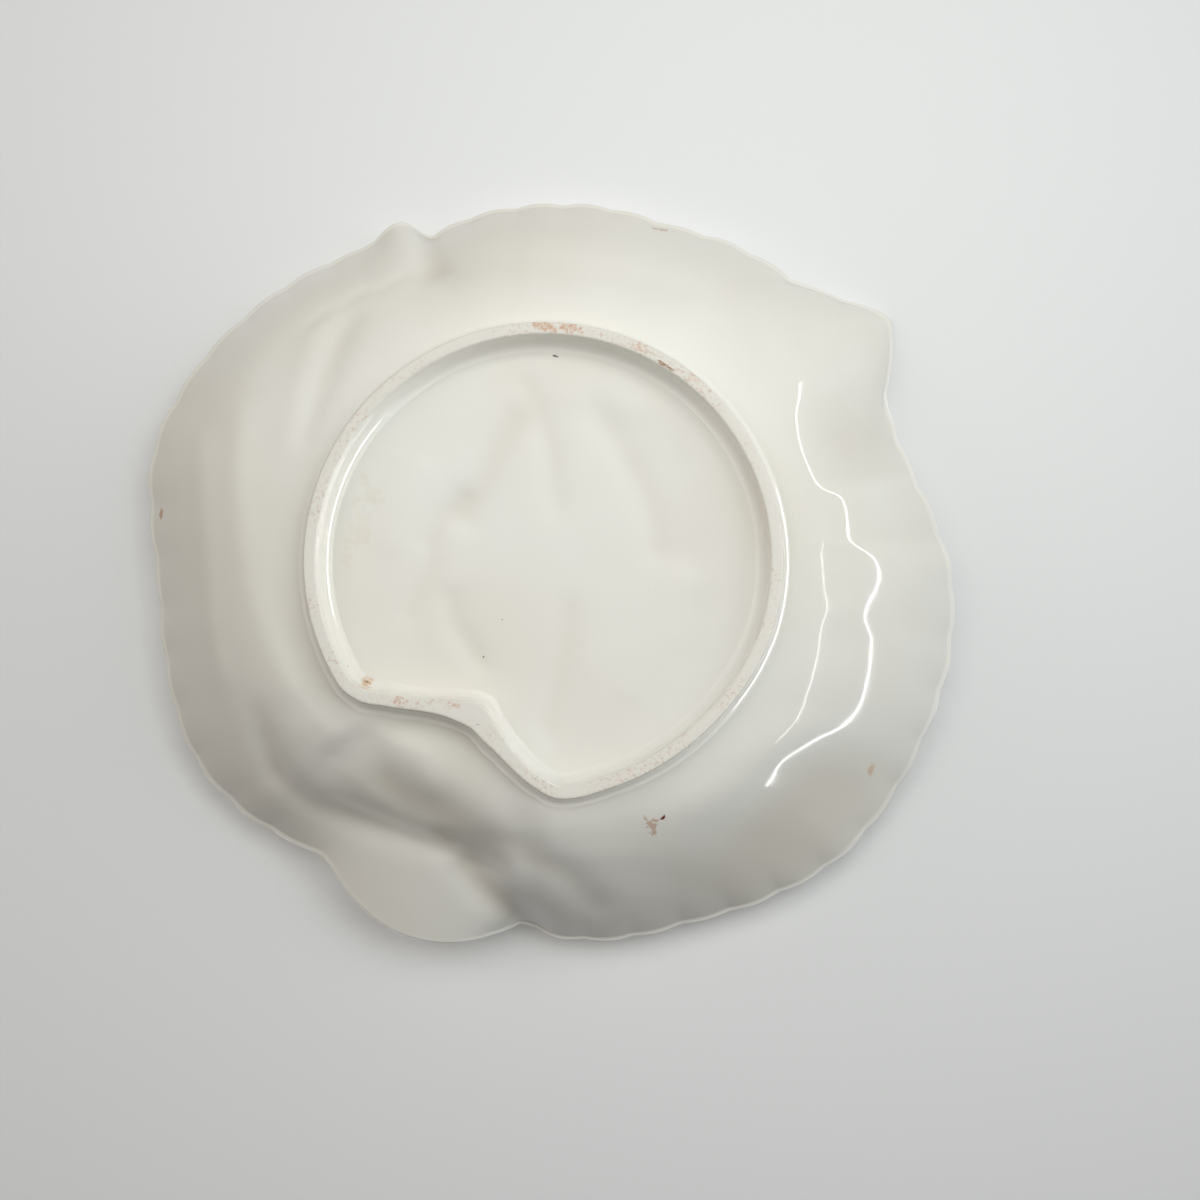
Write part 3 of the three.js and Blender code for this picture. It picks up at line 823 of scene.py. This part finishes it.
def on_leaf(points, bearing, reach):
    """Place under the leaf at a bearing and reach, in metres in the row frame."""
    under = points[: FLAT_ROWS + WALL_ROWS].reshape(-1, 3)
    x, y = plan(bearing, reach)
    nearest = np.argmin(np.hypot(under[:, 0] - x, under[:, 1] - y))
    return (Vector(under[nearest]) + FOOT_MIDDLE) * MM


def on_foot(bearing, out, height):
    """Place on the foot ring, in metres in the row frame."""
    bearings = np.array([bearing])
    x, y = plan(bearings, beside_foot(bearings, out))
    return (Vector((x[0], y[0], height)) + FOOT_MIDDLE) * MM


def glaze_material(points):
    """Ivory glaze with colour pooled in its hollows, and with stains and chips."""
    material, tree, shader, position = new_material("ivory_glaze")
    colour = ivory(tree, position)
    hollow = add_node(tree, "ShaderNodeAttribute", attribute_name="hollow").outputs["Fac"]
    pooled = remap(tree, hollow, *POOL_DEPTH, 0.0, POOL_MOST)
    colour = mix_colour(tree, pooled, colour, POOLED)
    for stain, bearing, reach, length, width, turn, ragged, strength in GLAZE_MARKS:
        shape = mark(tree, position, on_leaf(points, bearing, reach), length, width, turn, ragged)
        colour = mix_colour(tree, combine(tree, "MULTIPLY", shape, strength), colour, stain)
    feed(tree, shader.inputs["Base Color"], colour)
    gloss(tree, shader, remap(tree, noise(tree, position, *SHEEN_NOISE), *NOISE_SPREAD, *GLAZE_ROUGHNESS))
    feed(tree, shader.inputs["Normal"], glaze_bump(tree, position))
    return material


def foot_material():
    """Glazed sides and a bare, worn resting face with pinkish specks."""
    material, tree, shader, position = new_material("foot_clay")
    glazed = ivory(tree, position)
    height = add_node(tree, "ShaderNodeSeparateXYZ", {0: position}).outputs["Z"]
    worn = noise(tree, position, *WEAR_NOISE)
    shift = remap(tree, worn, *NOISE_SPREAD, -BARE_UNEVEN * MM, BARE_UNEVEN * MM)
    uneven = combine(tree, "ADD", height, shift)
    bare = remap(tree, uneven, BARE_HEIGHT[0] * MM, BARE_HEIGHT[1] * MM)
    grain = noise(tree, position, *GRAIN_NOISE)
    patches = remap(tree, noise(tree, position, *PATCH_NOISE), *PATCH_EDGE, PATCH_LEAST, 1.0)
    freckles = combine(tree, "MULTIPLY", remap(tree, grain, *FRECKLE_EDGE), patches)
    clay = mix_colour(tree, combine(tree, "MULTIPLY", freckles, FRECKLE_STRENGTH), CLAY, CLAY_PINK)
    speckle = remap(tree, grain, *SPECKLE_EDGE, SPECKLE_LEAST, 1.0)
    colour = mix_colour(tree, bare, glazed, clay)
    for stain, bearing, out, high, length, width, turn, ragged, strength in FOOT_MARKS:
        shape = mark(tree, position, on_foot(bearing, out, high), length, width, turn, ragged)
        shape = combine(tree, "MULTIPLY", shape, speckle)
        colour = mix_colour(tree, combine(tree, "MULTIPLY", shape, strength), colour, stain)
    feed(tree, shader.inputs["Base Color"], colour)
    gloss(tree, shader, remap(tree, bare, 0.0, 1.0, *FOOT_ROUGHNESS))
    feed(tree, shader.inputs["Coat Weight"], remap(tree, bare, 0.0, 1.0, COAT, 0.0))
    clay_strength, clay_height = CLAY_BUMP
    strength = combine(tree, "MULTIPLY", bare, clay_strength)
    relief = bump(tree, strength, clay_height, grain, glaze_bump(tree, position))
    feed(tree, shader.inputs["Normal"], relief)
    return material


# Photograph's directions in the row frame: its right, its up, and from the dish towards the camera
PHOTO_RIGHT = Vector((-np.cos(VIEW_TURN), np.sin(VIEW_TURN), 0))
PHOTO_UP = Vector((np.sin(VIEW_TURN), np.cos(VIEW_TURN), 0))
PHOTO_NEAR = Vector((0, 0, -1))


def from_photo(right, up, near):
    """Place in metres in the row frame, from millimetres as the photograph sees them."""
    return (FOOT_MIDDLE + PHOTO_RIGHT * right + PHOTO_UP * up + PHOTO_NEAR * near) * MM


def turned(right, up, back, place):
    """Matrix of an object whose own axes point along these directions."""
    return Matrix.LocRotScale(place, Matrix((right, up, back)).transposed(), None)


def make_camera():
    data = bpy.data.cameras.new("camera")
    data.lens = LENS
    data.sensor_width = SENSOR
    data.clip_start = NEAREST_SEEN * MM
    camera = add_to_scene("camera", data)
    forward = PHOTO_UP * np.sin(VIEW_TILT) - PHOTO_NEAR * np.cos(VIEW_TILT)
    up = PHOTO_UP * np.cos(VIEW_TILT) + PHOTO_NEAR * np.sin(VIEW_TILT)
    camera.matrix_world = turned(PHOTO_RIGHT, up, -forward, from_photo(*CAMERA_PLACE))
    bpy.context.scene.camera = camera


def one_sided(name, colour):
    """Matt stage paint that shows only from the front."""
    material = bpy.data.materials.new(name)
    material.use_nodes = True
    tree = material.node_tree
    shader = tree.nodes["Principled BSDF"]
    shader.inputs["Base Color"].default_value = colour
    shader.inputs["Roughness"].default_value = STAGE_ROUGHNESS
    shader.inputs["Specular IOR Level"].default_value = STAGE_SPECULAR
    back = add_node(tree, "ShaderNodeNewGeometry").outputs["Backfacing"]
    clear = add_node(tree, "ShaderNodeBsdfTransparent").outputs[0]
    mixed = add_node(tree, "ShaderNodeMixShader", {0: back, 1: shader.outputs[0], 2: clear})
    feed(tree, tree.nodes["Material Output"].inputs["Surface"], mixed.outputs[0])
    return material


def stage_plane(name, height, size, facing_up):
    """A square floor that the dish neither mirrors nor takes light from; its height is in metres."""
    half = size * MM / 2
    corners = [(-half, -half, height), (half, -half, height), (half, half, height), (-half, half, height)]
    mesh = bpy.data.meshes.new(name)
    mesh.from_pydata(corners, [], [(0, 1, 2, 3) if facing_up else (3, 2, 1, 0)])
    mesh.materials.append(one_sided(name, FLOOR_PALE))
    plane = add_to_scene(name, mesh)
    plane.visible_shadow = False
    plane.visible_diffuse = False
    plane.visible_glossy = False


def make_stage():
    """A floor under the standing dish, and one that it lies face down on for the view from below."""
    top = cad_box[1][2]
    stage_plane("floor", -FLOOR_DROP * MM, FLOOR_SIZE, facing_up=True)
    stage_plane("floor_face_down", top + FACE_DOWN_GAP * MM, FACE_DOWN_SIZE, facing_up=False)


def make_sky():
    """A pale sky that lights the dish mainly from above, and that the camera sees all round."""
    world = bpy.data.worlds.new("studio")
    world.use_nodes = True
    tree = world.node_tree
    direction = add_node(tree, "ShaderNodeTexCoord").outputs["Generated"]
    upward = add_node(tree, "ShaderNodeSeparateXYZ", {0: direction}).outputs["Z"]
    seen = add_node(tree, "ShaderNodeLightPath").outputs["Is Camera Ray"]
    lighting = remap(tree, upward, *SKY_BAND, *SKY_LIGHT)
    strength = combine(tree, "MAXIMUM", lighting, combine(tree, "MULTIPLY", seen, SKY_SEEN))
    background = tree.nodes["Background"]
    background.inputs["Color"].default_value = SKY
    feed(tree, background.inputs["Strength"], strength)
    bpy.context.scene.world = world


def area_light(name, place, width, height, power, colour, mirrored=True, lighting=True):
    """A panel that faces the dish: the glaze mirrors it and it lights the dish, unless told not to."""
    data = bpy.data.lights.new(name, "AREA")
    data.shape = "RECTANGLE"
    data.size = width * MM
    data.size_y = height * MM
    data.energy = power
    data.color = colour
    light = add_to_scene(name, data)
    back = (place - FOOT_MIDDLE * MM).normalized()
    right = PHOTO_UP.cross(back).normalized()
    light.matrix_world = turned(right, back.cross(right), back, place)
    light.visible_camera = False
    light.visible_glossy = mirrored
    light.visible_diffuse = lighting
    return light


def light_only(light, piece):
    """Keeps a light to one piece."""
    lit = bpy.data.collections.new(light.name)
    lit.objects.link(piece)
    light.light_linking.receiver_collection = lit


def make_lights(ring):
    for name, place, width, height, power, colour, special in LAMPS:
        switches = dict(special)
        ring_only = switches.pop("ring_only", False)
        light = area_light(name, from_photo(*place), width, height, power, colour, **switches)
        if ring_only:
            light_only(light, ring)


make_camera()
leaf_points, leaf_depth = leaf_surface()
glazed_leaf(leaf_points, leaf_depth, glaze_material(leaf_points))
ring = foot_ring(foot_material())
make_stage()
make_sky()
make_lights(ring)
bpy.context.scene.view_settings.view_transform = "Standard"
